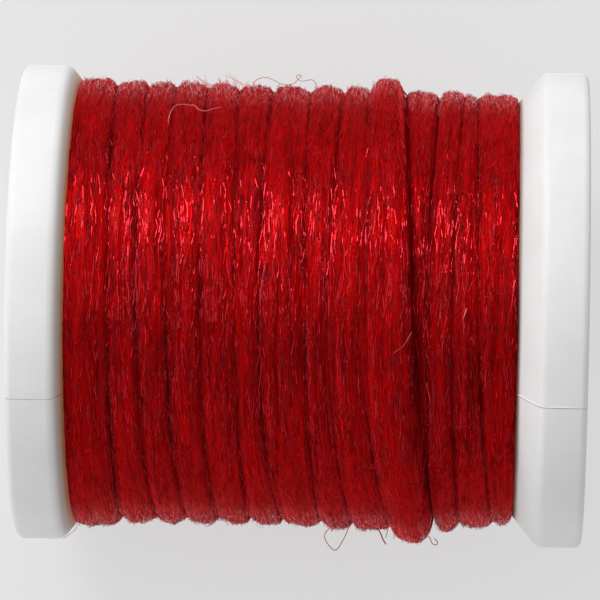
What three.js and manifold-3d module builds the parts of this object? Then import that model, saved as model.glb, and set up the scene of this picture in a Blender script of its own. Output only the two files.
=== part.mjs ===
import * as THREE from 'three';
import Module from 'manifold-3d';
import { mergeVertices } from 'three/addons/utils/BufferGeometryUtils.js';

const wasm = await Module();
wasm.setup();

// Soft nylon yarn wound on a small plastic spool. All sizes are in millimetres. The spool lies on
// its two rims with its axis along X and Z up, and the origin is under its middle.

// Spool
const SPOOL_LENGTH = 32;
const FLANGE_RADIUS = 13.5;
const RIM_WIDTH = 2.53;
const RIM_ROUND = 0.4;
const RIM_ROUND_STEPS = 3;
const SLOPE_WIDTH = 1.57;
const SLOPE_DROP = 1.96;
const BARREL_RADIUS = 5.5;
const BORE_RADIUS = 4;
const BORE_EDGE = 0.4;
const SPOOL_SIDES = 72;

// The rims are flattened a little where the spool rests, so that it doesn't roll away.
const REST_FLAT_WIDTH = 4;
const AXIS_HEIGHT = Math.sqrt(FLANGE_RADIUS ** 2 - (REST_FLAT_WIDTH / 2) ** 2);

// Slit in each flange that holds the yarn's end, turned from straight up towards the near side
const SLIT_WIDTH = 0.2;
const SLIT_DEPTH = 3.2;
const SLIT_TURN = THREE.MathUtils.degToRad(23.6);

// Wound yarn
const CLEARANCE = 0.3;
const YARN_STEPS_AROUND = 60;
const YARN_STEPS_ACROSS_TURN = 5;
const YARN_BORE_RADIUS = BARREL_RADIUS + CLEARANCE;
const LEFT_EDGE_RADIUS = 12.2;
const RIGHT_EDGE_RADIUS = 12;
const FULL_TURN_WIDTH = 1.2;
const TURN_ROUNDNESS = 0.5;

// The winding ends one clearance short of each flange: at the wall below the slope, and along it.
const SLOPE_STEEPNESS = SLOPE_DROP / SLOPE_WIDTH;
const WALL_X = SPOOL_LENGTH / 2 - RIM_WIDTH - SLOPE_WIDTH;
const YARN_WALL_X = WALL_X - CLEARANCE;
const SLOPE_FOOT_RADIUS = FLANGE_RADIUS - SLOPE_DROP;
const YARN_FOOT_RADIUS = SLOPE_FOOT_RADIUS
  + CLEARANCE * (Math.hypot(1, SLOPE_STEEPNESS) - SLOPE_STEEPNESS);
const LEFT_EDGE = -edgePlace(LEFT_EDGE_RADIUS);
const RIGHT_EDGE = edgePlace(RIGHT_EDGE_RADIUS);

// One turn of yarn a row, from the left flange. far, upper and near say where its left side lies
// along X as it passes the spool's far side, its top and its near side. The crown is the radius of
// the turn's back, and the valley is the radius of the groove at its left, far and near. The tenth
// turn lies over its neighbours, and the eleventh narrows to nothing beside it on the near side.
const TURNS = [
  { far: LEFT_EDGE, upper: LEFT_EDGE, near: LEFT_EDGE, crownFar: 12.5, crownNear: 12.35,
    valleyFar: LEFT_EDGE_RADIUS, valleyNear: LEFT_EDGE_RADIUS },
  { far: -10.8, upper: -10.4, near: -10.05, crownFar: 12.55, crownNear: 12.4,
    valleyFar: 12.1, valleyNear: 11.95 },
  { far: -8.95, upper: -8.85, near: -8.0, crownFar: 12.55, crownNear: 12.4,
    valleyFar: 12.15, valleyNear: 11.95 },
  { far: -7.4, upper: -7.2, near: -6.35, crownFar: 12.55, crownNear: 12.4,
    valleyFar: 12.1, valleyNear: 11.95 },
  { far: -5.6, upper: -5.35, near: -4.6, crownFar: 12.5, crownNear: 12.4,
    valleyFar: 12.05, valleyNear: 11.95 },
  { far: -3.8, upper: -3.4, near: -2.75, crownFar: 12.45, crownNear: 12.4,
    valleyFar: 12.05, valleyNear: 12.0 },
  { far: -1.85, upper: -2.15, near: -0.9, crownFar: 12.4, crownNear: 12.45,
    valleyFar: 11.9, valleyNear: 12.0 },
  { far: 0.25, upper: 0.45, near: 1.3, crownFar: 12.5, crownNear: 12.6,
    valleyFar: 11.9, valleyNear: 12.05 },
  { far: 2.2, upper: 1.7, near: 3.05, crownFar: 12.45, crownNear: 12.65,
    valleyFar: 12.0, valleyNear: 12.1 },
  { far: 3.65, upper: 3.6, near: 4.85, crownFar: 12.95, crownNear: 13.3,
    valleyFar: 12.15, valleyNear: 12.3 },
  { far: 5.6, upper: 6.3, near: 7.2, crownFar: 12.3, crownNear: 11.9,
    valleyFar: 11.8, valleyNear: 11.5 },
  { far: 7.6, upper: 7.15, near: 7.2, crownFar: 12.25, crownNear: 12.55,
    valleyFar: 11.7, valleyNear: 11.5 },
  { far: 9.0, upper: 8.5, near: 9.05, crownFar: 12.15, crownNear: 12.4,
    valleyFar: 12.0, valleyNear: 11.95 },
  { far: 9.7, upper: 9.9, near: 11.0, crownFar: 12.1, crownNear: 12.2,
    valleyFar: 11.8, valleyNear: 11.95 },
];

// Half the length of the winding where its outer edge has the given radius, beside the slope
function edgePlace(radius) {
  return YARN_WALL_X + (radius - YARN_FOOT_RADIUS) / SLOPE_STEEPNESS;
}

// Turns a closed geometry into a solid that can be cut.
function toSolid(geometry) {
  const bare = geometry.clone();
  bare.deleteAttribute('normal');
  bare.deleteAttribute('uv');
  const merged = mergeVertices(bare);
  return new wasm.Manifold(new wasm.Mesh({
    numProp: 3,
    vertProperties: new Float32Array(merged.attributes.position.array),
    triVerts: new Uint32Array(merged.index.array),
  }));
}

// Turns a cut solid back into a geometry.
function toGeometry(solid) {
  const mesh = solid.getMesh();
  const geometry = new THREE.BufferGeometry();
  geometry.setAttribute('position', new THREE.BufferAttribute(mesh.vertProperties, 3));
  geometry.setIndex(new THREE.BufferAttribute(mesh.triVerts, 1));
  geometry.computeVertexNormals();
  return geometry;
}

// Half of the spool's section, from the bore at the middle out to one end and back along the
// barrel. Each point has its radius and its distance from the middle.
function halfSpoolSection() {
  const end = SPOOL_LENGTH / 2;
  const points = [
    [BORE_RADIUS, end - BORE_EDGE],
    [BORE_RADIUS + BORE_EDGE, end],
  ];
  for (let step = 0; step <= RIM_ROUND_STEPS; step += 1) {
    const turn = (step / RIM_ROUND_STEPS) * (Math.PI / 2);
    points.push([
      FLANGE_RADIUS - RIM_ROUND + RIM_ROUND * Math.sin(turn),
      end - RIM_ROUND + RIM_ROUND * Math.cos(turn),
    ]);
  }
  points.push([FLANGE_RADIUS, end - RIM_WIDTH]);
  points.push([SLOPE_FOOT_RADIUS, WALL_X]);
  points.push([BARREL_RADIUS, WALL_X]);
  return points;
}

// The spool without its cuts, turned about X
function turnedSpool() {
  const half = halfSpoolSection();
  const mirrored = half.map(([radius, along]) => [radius, -along]).reverse();
  const section = [...half, ...mirrored];
  section.push(section[0]);
  section.reverse();
  const profile = section.map(([radius, along]) => new THREE.Vector2(radius, along));
  return new THREE.LatheGeometry(profile, SPOOL_SIDES).rotateZ(-Math.PI / 2);
}

// The thin cut through one flange; side is -1 for the left flange and 1 for the right one.
function slitCutter(side) {
  const length = SPOOL_LENGTH / 2 - WALL_X + 2;
  const height = SLIT_DEPTH + 1;
  const cutter = new THREE.BoxGeometry(length, SLIT_WIDTH, height);
  cutter.translate(
    side * (SPOOL_LENGTH / 2 + 1 - length / 2),
    0,
    FLANGE_RADIUS - SLIT_DEPTH + height / 2,
  );
  return toSolid(cutter.rotateX(SLIT_TURN));
}

// Everything below the surface that the spool rests on
function restCutter() {
  const height = 2;
  const cutter = new THREE.BoxGeometry(SPOOL_LENGTH * 2, SPOOL_LENGTH * 2, height);
  return toSolid(cutter.translate(0, 0, -AXIS_HEIGHT - height / 2));
}

function spoolGeometry() {
  const cutters = [slitCutter(-1), slitCutter(1), restCutter()];
  const cut = cutters.reduce((solid, cutter) => solid.subtract(cutter), toSolid(turnedSpool()));
  return toGeometry(cut);
}

// The winding with a plain row added at each end: the yarn comes up at the left flange and is
// pinched out at the right one.
function windingRows() {
  const plainRow = (place, radius) => ({
    far: place, upper: place, near: place,
    crownFar: radius, crownNear: radius, valleyFar: radius, valleyNear: radius,
  });
  return [
    plainRow(LEFT_EDGE, LEFT_EDGE_RADIUS),
    ...TURNS,
    plainRow(RIGHT_EDGE, RIGHT_EDGE_RADIUS),
  ];
}

// Where the left side of a turn lies once it has gone the given share of the way round. After a
// whole round it lies where the next turn starts.
function placeAround(row, nextRow, share) {
  const quarter = share * 4;
  if (quarter <= 1) {
    return THREE.MathUtils.lerp(row.far, row.upper, quarter);
  }
  if (quarter <= 2) {
    return THREE.MathUtils.lerp(row.upper, row.near, quarter - 1);
  }
  return THREE.MathUtils.lerp(row.near, nextRow.far, (quarter - 2) / 2);
}

// A radius that eases from the far side to the near side and on to the next turn's far side
function radiusAround(far, near, nextFar, share) {
  if (share <= 0.5) {
    return THREE.MathUtils.lerp(far, near, THREE.MathUtils.smoothstep(share, 0, 0.5));
  }
  return THREE.MathUtils.lerp(near, nextFar, THREE.MathUtils.smoothstep(share, 0.5, 1));
}

// Place along X and radius of the valley at the left of a turn
function valleyAt(rows, turn, share) {
  const row = rows[turn];
  const nextRow = rows[Math.min(turn + 1, rows.length - 1)];
  const first = turn === 0;
  return {
    along: first ? row.far : placeAround(row, nextRow, share),
    radius: first ? row.valleyFar
      : radiusAround(row.valleyFar, row.valleyNear, nextRow.valleyFar, share),
  };
}

// A point on the winding's outside. across runs from 0 at the left of the turn to 1 at its right.
function woundPoint(rows, turn, across, share) {
  const left = valleyAt(rows, turn, share);
  const right = valleyAt(rows, turn + 1, share);
  const row = rows[turn];
  const nextRow = rows[turn + 1];
  const crown = radiusAround(row.crownFar, row.crownNear, nextRow.crownFar, share);
  const valley = THREE.MathUtils.lerp(left.radius, right.radius, across);
  const fullness = Math.min(1, (right.along - left.along) / FULL_TURN_WIDTH);
  const arch = (4 * across * (1 - across)) ** TURN_ROUNDNESS;
  return {
    along: THREE.MathUtils.lerp(left.along, right.along, across),
    radius: valley + (crown - valley) * arch * fullness,
  };
}

// The winding's section at one share of the way round: across all its turns, down its right end,
// back through its bore and up its left end
function yarnSection(rows, share) {
  const points = [];
  const turns = rows.length - 1;
  for (let turn = 0; turn < turns; turn += 1) {
    for (let step = 0; step < YARN_STEPS_ACROSS_TURN; step += 1) {
      points.push(woundPoint(rows, turn, step / YARN_STEPS_ACROSS_TURN, share));
    }
  }
  points.push({ along: RIGHT_EDGE, radius: RIGHT_EDGE_RADIUS });
  points.push({ along: YARN_WALL_X, radius: YARN_FOOT_RADIUS });
  points.push({ along: YARN_WALL_X, radius: YARN_BORE_RADIUS });
  points.push({ along: -YARN_WALL_X, radius: YARN_BORE_RADIUS });
  points.push({ along: -YARN_WALL_X, radius: YARN_FOOT_RADIUS });
  points.push(points[0]);
  return points;
}

// Leaves out the triangles that have no area, where a turn starts from nothing.
function withoutEmptyTriangles(geometry) {
  const corners = geometry.index.array;
  const kept = [];
  for (let first = 0; first < corners.length; first += 3) {
    const [a, b, c] = corners.subarray(first, first + 3);
    if (a !== b && b !== c && c !== a) {
      kept.push(a, b, c);
    }
  }
  geometry.setIndex(kept);
  return geometry;
}

// A flat grid bent round the spool: its columns follow the turns, so the last row meets the first
// one a whole turn further along.
function woundYarnGeometry() {
  const rows = windingRows();
  const columns = yarnSection(rows, 0).length - 1;
  const grid = new THREE.PlaneGeometry(1, 1, columns, YARN_STEPS_AROUND);
  grid.deleteAttribute('normal');
  grid.deleteAttribute('uv');
  const position = grid.attributes.position;
  for (let step = 0; step <= YARN_STEPS_AROUND; step += 1) {
    const share = step / YARN_STEPS_AROUND;
    const angle = share * 2 * Math.PI;
    yarnSection(rows, share).forEach(({ along, radius }, column) => {
      const vertex = step * (columns + 1) + column;
      position.setXYZ(vertex, along, radius * Math.cos(angle), radius * Math.sin(angle));
    });
  }
  const closed = withoutEmptyTriangles(mergeVertices(grid, 1e-4));
  closed.computeVertexNormals();
  return closed;
}

const plastic = new THREE.MeshStandardMaterial({ color: 0xeeefee, roughness: 0.45, metalness: 0 });
const yarn = new THREE.MeshStandardMaterial({ color: 0xb00a12, roughness: 0.55, metalness: 0 });

function namedMesh(name, geometry, material) {
  const mesh = new THREE.Mesh(geometry, material);
  mesh.name = name;
  return mesh;
}

const woundSpool = new THREE.Group();
woundSpool.add(namedMesh('spool', spoolGeometry(), plastic));
woundSpool.add(namedMesh('wound_yarn', woundYarnGeometry(), yarn));
woundSpool.position.z = AXIS_HEIGHT;

export default woundSpool;
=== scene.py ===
"""Soft nylon yarn wound on a small plastic spool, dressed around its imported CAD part.

Sizes are in millimetres about the spool's axis: X along it, Y away from the viewer and Z up.
Meshes are turned into metres in the part's own frame just before they are made.
"""

from __future__ import annotations

import logging
import math
from dataclasses import dataclass
from enum import Enum

import bmesh
import bpy
import numpy as np
from mathutils import Matrix, Vector


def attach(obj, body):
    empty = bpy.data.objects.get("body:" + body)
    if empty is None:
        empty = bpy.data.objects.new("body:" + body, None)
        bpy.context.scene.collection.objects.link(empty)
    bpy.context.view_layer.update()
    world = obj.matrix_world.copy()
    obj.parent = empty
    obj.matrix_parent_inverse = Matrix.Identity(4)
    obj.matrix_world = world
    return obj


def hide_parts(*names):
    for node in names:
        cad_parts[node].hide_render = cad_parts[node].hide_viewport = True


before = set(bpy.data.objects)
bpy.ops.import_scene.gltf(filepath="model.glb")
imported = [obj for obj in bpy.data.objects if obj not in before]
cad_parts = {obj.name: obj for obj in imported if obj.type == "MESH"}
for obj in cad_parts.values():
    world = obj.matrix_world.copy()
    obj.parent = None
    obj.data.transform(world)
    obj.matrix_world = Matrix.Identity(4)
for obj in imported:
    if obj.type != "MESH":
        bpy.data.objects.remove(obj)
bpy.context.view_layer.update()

LOG = logging.getLogger("wound_yarn")
MILLIMETRE = 0.001
SPOOL_LENGTH = 32.0
FLANGE_RADIUS = 13.5
RIM_WIDTH = 2.53
SLOPE_WIDTH = 1.57
SLOPE_DROP = 1.96
REST_FLAT_WIDTH = 4.0
MEAN_YARN_RADIUS = 12.4
AXIS_HEIGHT = math.sqrt(FLANGE_RADIUS**2 - (REST_FLAT_WIDTH / 2) ** 2)
SLOPE_FOOT_X = SPOOL_LENGTH / 2 - RIM_WIDTH - SLOPE_WIDTH
SLOPE_FOOT_RADIUS = FLANGE_RADIUS - SLOPE_DROP
SLOPE_STEEPNESS = SLOPE_DROP / SLOPE_WIDTH
MEAN_ROUND = 2 * math.pi * MEAN_YARN_RADIUS

Colour = tuple[float, float, float, float]
Place = tuple[float, float, float]

DYE_TINT: Colour = (1.0, 0.02, 0.03, 1.0)


class Slot(Enum):
    """Material slot names."""

    PLASTIC = "spool_plastic"
    NYLON = "nylon_yarn"


def to_part(points: np.ndarray) -> np.ndarray:
    """Moves points from millimetres about the axis to metres in the part's frame."""
    return (points + np.array((0.0, 0.0, AXIS_HEIGHT))) * MILLIMETRE


def slope_place(radius: float) -> float:
    """How far from the middle a flange's sloping face is at a radius."""
    return SLOPE_FOOT_X + (radius - SLOPE_FOOT_RADIUS) / SLOPE_STEEPNESS


def mix(low: np.ndarray, high: np.ndarray, share: np.ndarray) -> np.ndarray:
    """The value that lies the given share of the way from low to high."""
    return low + (high - low) * share


def about_axis(
    along: np.ndarray | float, radius: np.ndarray | float, angle: np.ndarray | float
) -> np.ndarray:
    """Places points round the spool's axis.

    Args:
        along: Place along X.
        radius: Distance from the axis.
        angle: Angle from the far side over the top, in radians.

    Returns:
        Points with their three numbers in the last axis.
    """
    along, radius, angle = np.broadcast_arrays(along, radius, angle)
    return np.stack((along, radius * np.cos(angle), radius * np.sin(angle)), axis=-1)


def put_in_scene(name: str, mesh: bpy.types.Mesh) -> bpy.types.Object:
    """Makes an object of a mesh and links it to the scene.

    Args:
        name: The object's name.
        mesh: Its mesh.

    Returns:
        The object.
    """
    piece = bpy.data.objects.new(name, mesh)
    bpy.context.scene.collection.objects.link(piece)
    return piece


@dataclass(frozen=True)
class Value:
    """A number inside a material, so that shader maths reads as Python.

    Args:
        tree: The node tree that the number lives in.
        socket: The output socket that carries it.
    """

    tree: bpy.types.NodeTree
    socket: bpy.types.NodeSocket

    def _maths(
        self, operation: str, first: object, second: object = 0.0, clamp: bool = False
    ) -> Value:
        """Adds one Math node.

        Args:
            operation: The Math node's operation.
            first: A number or a Value.
            second: A number or a Value, where the operation takes two.
            clamp: Whether the result stays between 0 and 1.

        Returns:
            The result.
        """
        node = self.tree.nodes.new("ShaderNodeMath")
        node.operation = operation
        node.use_clamp = clamp
        for place, part in enumerate((first, second)):
            if isinstance(part, Value):
                self.tree.links.new(part.socket, node.inputs[place])
            else:
                node.inputs[place].default_value = float(part)
        return Value(self.tree, node.outputs[0])

    def __add__(self, other: object) -> Value:
        """Sum."""
        return self._maths("ADD", self, other)

    __radd__ = __add__

    def __sub__(self, other: object) -> Value:
        """Difference."""
        return self._maths("SUBTRACT", self, other)

    def __rsub__(self, other: object) -> Value:
        """Difference from a number."""
        return self._maths("SUBTRACT", other, self)

    def __mul__(self, other: object) -> Value:
        """Product."""
        return self._maths("MULTIPLY", self, other)

    __rmul__ = __mul__

    def __truediv__(self, other: object) -> Value:
        """Quotient."""
        return self._maths("DIVIDE", self, other)

    def __pow__(self, other: object) -> Value:
        """Power."""
        return self._maths("POWER", self, other)

    def __abs__(self) -> Value:
        """The number without its sign."""
        return self._maths("ABSOLUTE", self)

    def fraction(self) -> Value:
        """What is left of the number without its whole part."""
        return self._maths("FRACT", self)

    def clamped(self) -> Value:
        """The same number kept between 0 and 1."""
        return self._maths("ADD", self, 0.0, clamp=True)


class Finish:
    """One material under construction, with its Principled shader and output in place."""

    def __init__(self, name: str) -> None:
        """Starts an empty material.

        Args:
            name: The material's name.
        """
        self.material = bpy.data.materials.new(name)
        self.material.use_nodes = True
        self.tree = self.material.node_tree
        self.shader = self.tree.nodes["Principled BSDF"]

    def node(
        self,
        kind: str,
        settings: dict[str, object] | None = None,
        inputs: dict[str | int, object] | None = None,
    ) -> bpy.types.Node:
        """Adds any node.

        Args:
            kind: The node's type.
            settings: Its settings, such as an operation, which are set first.
            inputs: Values or links for its sockets, by name or number.

        Returns:
            The node.
        """
        node = self.tree.nodes.new(kind)
        for key, value in (settings or {}).items():
            setattr(node, key, value)
        for key, value in (inputs or {}).items():
            self.feed(node.inputs[key], value)
        return node

    def feed(self, socket: bpy.types.NodeSocket, value: object) -> None:
        """Links a socket to a Value or another socket, or sets its own value."""
        if isinstance(value, Value):
            self.tree.links.new(value.socket, socket)
        elif isinstance(value, bpy.types.NodeSocket):
            self.tree.links.new(value, socket)
        else:
            socket.default_value = value

    def set(self, **inputs: object) -> None:
        """Sets the shader's sockets; an underscore in a name stands for a space."""
        for key, value in inputs.items():
            self.feed(self.shader.inputs[key.replace("_", " ")], value)

    def attribute(self, name: str) -> Value:
        """The piece's own number attribute of that name."""
        node = self.node("ShaderNodeAttribute", {"attribute_name": name})
        return Value(self.tree, node.outputs["Fac"])

    def facing_away(self, name: str) -> Value:
        """How far the direction in the piece's own attribute turns edge on, from 0 to 1.

        Args:
            name: The attribute's name.

        Returns:
            The share.
        """
        way = self.node("ShaderNodeAttribute", {"attribute_name": name}).outputs["Vector"]
        node = self.node("ShaderNodeLayerWeight", {}, {"Blend": 0.5, "Normal": way})
        return Value(self.tree, node.outputs["Facing"])

    def stretched(self, source: bpy.types.NodeSocket, scale: Place) -> bpy.types.NodeSocket:
        """Scales a coordinate along each axis."""
        node = self.node("ShaderNodeMapping", {}, {"Vector": source, "Scale": scale})
        return node.outputs["Vector"]

    def object_place(self) -> bpy.types.NodeSocket:
        """The Object coordinate, in metres."""
        return self.node("ShaderNodeTexCoord").outputs["Object"]

    def fibre_place(self) -> bpy.types.NodeSocket:
        """The place on the wound yarn in millimetres: across a turn, then along it."""
        return self.node("ShaderNodeUVMap", {"uv_map": "fibres"}).outputs["UV"]

    def noise(
        self, place: bpy.types.NodeSocket, scale: float, detail: float, roughness: float = 0.5
    ) -> Value:
        """Noise between 0 and 1.

        Args:
            place: The coordinate to read it at.
            scale: Cells for each unit of the coordinate.
            detail: Finer layers on top of the first.
            roughness: How strong the finer layers are.

        Returns:
            The noise.
        """
        inputs = {"Vector": place, "Scale": scale, "Detail": detail, "Roughness": roughness}
        node = self.node("ShaderNodeTexNoise", {"noise_dimensions": "3D"}, inputs)
        return Value(self.tree, node.outputs["Fac"])

    def spread(self, value: Value, low: float, high: float) -> Value:
        """Spreads the part of a value from low to high over 0 to 1, softly.

        Args:
            value: The value.
            low: What becomes 0.
            high: What becomes 1.

        Returns:
            The spread value.
        """
        settings = {"interpolation_type": "SMOOTHSTEP"}
        inputs = {"Value": value, "From Min": low, "From Max": high}
        node = self.node("ShaderNodeMapRange", settings, inputs)
        return Value(self.tree, node.outputs["Result"])

    def blend_colours(self, share: Value, low: object, high: object) -> bpy.types.NodeSocket:
        """Mixes two colours by a share."""
        inputs = {0: share, 6: low, 7: high}
        return self.node("ShaderNodeMix", {"data_type": "RGBA"}, inputs).outputs[2]

    def bump(self, height: Value, distance: float, strength: float) -> bpy.types.NodeSocket:
        """A normal bent by a height.

        Args:
            height: The height, from 0 to 1.
            distance: What a height of 1 stands for, in metres.
            strength: How much of the bend is used.

        Returns:
            The bent normal.
        """
        inputs = {"Height": height, "Distance": distance, "Strength": strength}
        return self.node("ShaderNodeBump", {}, inputs).outputs["Normal"]


@dataclass(frozen=True)
class NylonFinish:
    """Dyed nylon: coloured gleam along the fibres, deep between them.

    HAIRS, BUNDLES and PATCHES are cells to a millimetre in the winding's pattern, across a turn and
    along it. FIBRE_PATCHES and BARE_CELLS are cells to a metre in a fibre's own pattern, whose
    patches FIBRE_STRETCH draws out. A fibre is bare where its noise passes BARE_EDGE, TONE_STEPS
    turns its tone into a chance of its own, and the bloom, a pale sheen painted into the base
    colour, grows over FRINGE as it turns edge on.

    Args:
        name: The material's name.
        deep: Colour of the darkest fibres.
        bright: Colour of the lightest fibres.
        bare: Colour of the bare, glossy stretches of fibre.
        metallic: Share of the light that gleams in the dye's colour.
        roughness: Roughness of that gleam where the fibres are matt.
        bare_roughness: Roughness of that gleam where the fibres are bare.
        coat: Strength of the white gleam at grazing angles.
        coat_roughness: Roughness of the white gleam.
        sheen: Strength of the bloom at grazing angles.
        bloom: Darkest and lightest colour of the pale sheen painted into the fibres' colour edge
            on, if they have it.
        bloom_share: Share of the fibres that show it.
        opacity: How much of what lies behind is hidden.
    """

    name: str
    deep: Colour = (0.12, 0.0016, 0.0022, 1.0)
    bright: Colour = (0.63, 0.002, 0.0027, 1.0)
    bare: Colour = (0.36, 0.013, 0.02, 1.0)
    metallic: float = 0.85
    roughness: float = 0.47
    bare_roughness: float = 0.17
    coat: float = 0.4
    coat_roughness: float = 0.2
    sheen: float = 1.0
    bloom: tuple[Colour, Colour] | None = None
    bloom_share: float = 1.05
    opacity: float = 1.0

    HAIRS = (22.0, 0.9, 1.0)
    BUNDLES = (5.0, 0.16, 1.0)
    PATCHES = (1.2, 0.12, 1.0)
    FIBRE_STRETCH = (2.6, 0.8, 0.8)
    FIBRE_PATCHES = 420.0
    BARE_CELLS = 1700.0
    BARE_EDGE = (0.48, 0.56)
    TONE_STEPS = 53.0
    FRINGE = (0.54, 0.88)

    def _start(self) -> Finish:
        """Starts the material with what is the same all over it.

        Returns:
            The started material.
        """
        finish = Finish(self.name)
        finish.set(
            Metallic=self.metallic,
            IOR=1.03,
            Specular_Tint=DYE_TINT,
            Coat_Weight=self.coat,
            Coat_Roughness=self.coat_roughness,
            Coat_IOR=1.1,
            Sheen_Weight=self.sheen,
            Sheen_Roughness=0.4,
            Sheen_Tint=DYE_TINT,
            Alpha=self.opacity,
        )
        return finish

    def on_winding(self) -> bpy.types.Material:
        """The finish of the winding itself, whose fine fibres run along each turn.

        Returns:
            The material.
        """
        finish = self._start()
        place = finish.fibre_place()
        hairs = finish.noise(finish.stretched(place, self.HAIRS), 1.0, 3.0, 0.65)
        bundles = finish.noise(finish.stretched(place, self.BUNDLES), 1.0, 2.0)
        patches = finish.noise(finish.stretched(place, self.PATCHES), 1.0, 1.0)
        share = finish.spread(0.5 * hairs + 0.3 * bundles + 0.2 * patches, 0.3, 0.7)
        finish.set(
            Base_Color=finish.blend_colours(share, self.deep, self.bright),
            Roughness=self.roughness + 0.12 * (hairs - 0.5),
            Normal=finish.bump(hairs, 0.00006, 0.6),
        )
        return finish.material

    def on_fibres(self) -> bpy.types.Material:
        """The finish of loose or lying fibres, each with a tone of its own.

        Returns:
            The material.
        """
        finish = self._start()
        tone = finish.attribute("tone")
        place = finish.object_place()
        drawn_out = finish.stretched(place, self.FIBRE_STRETCH)
        patches = finish.noise(drawn_out, self.FIBRE_PATCHES, 2.0)
        chance = (tone * self.TONE_STEPS).fraction()
        gleam = finish.noise(place, self.BARE_CELLS, 2.0) + 0.5 * (chance - 0.5)
        bare = finish.spread(gleam, *self.BARE_EDGE)
        shade = (tone + 2.0 * (patches - 0.5)).clamped()
        matt = finish.blend_colours(shade, self.deep, self.bright)
        colour = finish.blend_colours(bare, matt, self.bare)
        # Painted sheen: the base colour turns pale where the way out from the axis turns edge on to
        # the view, on the chosen share of fibres.
        if self.bloom:
            chosen = (20.0 * (self.bloom_share - chance)).clamped()
            edge_on = finish.spread(finish.facing_away("outward"), *self.FRINGE) * chosen
            pale = finish.blend_colours(tone, *self.bloom)
            colour = finish.blend_colours(edge_on, colour, pale)
        finish.set(
            Base_Color=colour,
            Roughness=self.roughness + (self.bare_roughness - self.roughness) * bare,
        )
        return finish.material


WOUND_NYLON = NylonFinish("wound_nylon")
LYING_NYLON = NylonFinish(
    "lying_nylon",
    bloom=((0.75, 0.16, 0.18, 1.0), (0.96, 0.66, 0.68, 1.0)),
    bloom_share=0.55,
)
FUZZY_NYLON = NylonFinish(
    "fuzzy_nylon",
    deep=(0.3, 0.004, 0.006, 1.0),
    bright=(0.6, 0.012, 0.015, 1.0),
    bare=(0.6, 0.015, 0.02, 1.0),
    metallic=0.0,
    bare_roughness=0.4,
    bloom=((0.88, 0.36, 0.38, 1.0), (0.98, 0.84, 0.85, 1.0)),
)
LOOSE_NYLON = NylonFinish(
    "loose_nylon",
    deep=(0.3, 0.01, 0.015, 1.0),
    bright=(0.75, 0.2, 0.24, 1.0),
    bare=(0.5, 0.08, 0.1, 1.0),
    metallic=0.2,
    bare_roughness=0.4,
)
MISTY_NYLON = NylonFinish(
    "misty_nylon",
    deep=(0.9, 0.3, 0.35, 1.0),
    bright=(0.9, 0.5, 0.54, 1.0),
    bare=(0.9, 0.4, 0.45, 1.0),
    metallic=0.0,
    bare_roughness=0.5,
    opacity=0.3,
)


@dataclass(frozen=True)
class PlasticFinish:
    """Moulded white plastic, almost matt, with a faint grain and slight clouding, and painted shade
    warmed by painted red bounce light on the slopes beside the yarn, most on the left slope.

    Args:
        name: The material's name.
        pale: The main colour.
        shaded: The colour of the cloudy parts.
        painted_bounce_shade: Painted shade warmed by painted red bounce light from the yarn, on the
            slopes beside it.
        painted_contact_shade: Deeper, more orange painted shade and red bounce light where the yarn
            touches the slopes.
        edge: Radius at which the painted shade on the right slope ends.
        roughness: Roughness of the skin.
        edge: Radius at which the blush on the right slope ends.
        edge_rise: How much further out it ends on the left slope.
        fade: Height over which it fades on the right slope.
        fade_rise: How much more it takes on the left slope.
        reach: How far from the middle the blush goes along X.
        hub: Radius inside which there is none.
    """

    name: str = "moulded_plastic"
    pale: Colour = (0.85, 0.85, 0.848, 1.0)
    shaded: Colour = (0.81, 0.81, 0.804, 1.0)
    painted_bounce_shade: Colour = (0.47, 0.39, 0.34, 1.0)
    painted_contact_shade: Colour = (0.46, 0.16, 0.06, 1.0)
    roughness: float = 0.46
    edge: float = 12.1
    edge_rise: float = 1.35
    fade: float = 0.35
    fade_rise: float = 0.4
    reach: float = 13.6
    hub: float = 10.9

    def _bounce_shade_mask(self, finish: Finish, place: bpy.types.NodeSocket) -> Value:
        """How near a point of a slope is to the yarn, from 0 to 1, which sets where the painted
        shade and red bounce light lie; on the left slope it reaches further out.

        Args:
            finish: The material.
            place: The Object coordinate.

        Returns:
            The share.
        """
        axis_place = (0.0, 0.0, AXIS_HEIGHT * MILLIMETRE)
        settings = {"operation": "SUBTRACT"}
        centred = finish.node("ShaderNodeVectorMath", settings, {0: place, 1: axis_place})
        parts = finish.node("ShaderNodeSeparateXYZ", {}, {"Vector": centred.outputs[0]})
        along, aside, up = (Value(finish.tree, parts.outputs[axis]) for axis in "XYZ")
        radius = (aside * aside + up * up) ** 0.5
        left = finish.spread(0.0 - along, 0.0, MILLIMETRE)
        start = (self.edge + self.edge_rise * left) * MILLIMETRE
        depth = (self.fade + self.fade_rise * left) * MILLIMETRE
        near = ((start - radius) / depth).clamped()
        inner = finish.spread(self.reach * MILLIMETRE - abs(along), 0.0, 0.2 * MILLIMETRE)
        outer = finish.spread(radius, self.hub * MILLIMETRE, (self.hub + 0.2) * MILLIMETRE)
        return near * inner * outer

    def material(self) -> bpy.types.Material:
        """Makes the material.

        Returns:
            The material.
        """
        finish = Finish(self.name)
        place = finish.object_place()
        clouds = finish.noise(place, 260.0, 3.0, 0.6)
        grain = finish.noise(place, 5200.0, 2.0, 0.6)
        skin = finish.blend_colours(finish.spread(clouds, 0.35, 0.7), self.pale, self.shaded)
        # Painted shade and painted red bounce light from the yarn on the slopes beside it, deeper
        # and more orange where the yarn touches them.
        near = self._bounce_shade_mask(finish, place)
        bounce_shaded = finish.blend_colours(finish.spread(near, 0.0, 0.65), skin, self.painted_bounce_shade)
        finish.set(
            Base_Color=finish.blend_colours(finish.spread(near, 0.6, 1.0), bounce_shaded, self.painted_contact_shade),
            Roughness=self.roughness + 0.1 * (clouds - 0.5) + 0.1 * (grain - 0.5),
            Specular_IOR_Level=0.4,
            Normal=finish.bump(grain, 0.000012, 0.5),
        )
        return finish.material


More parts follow.
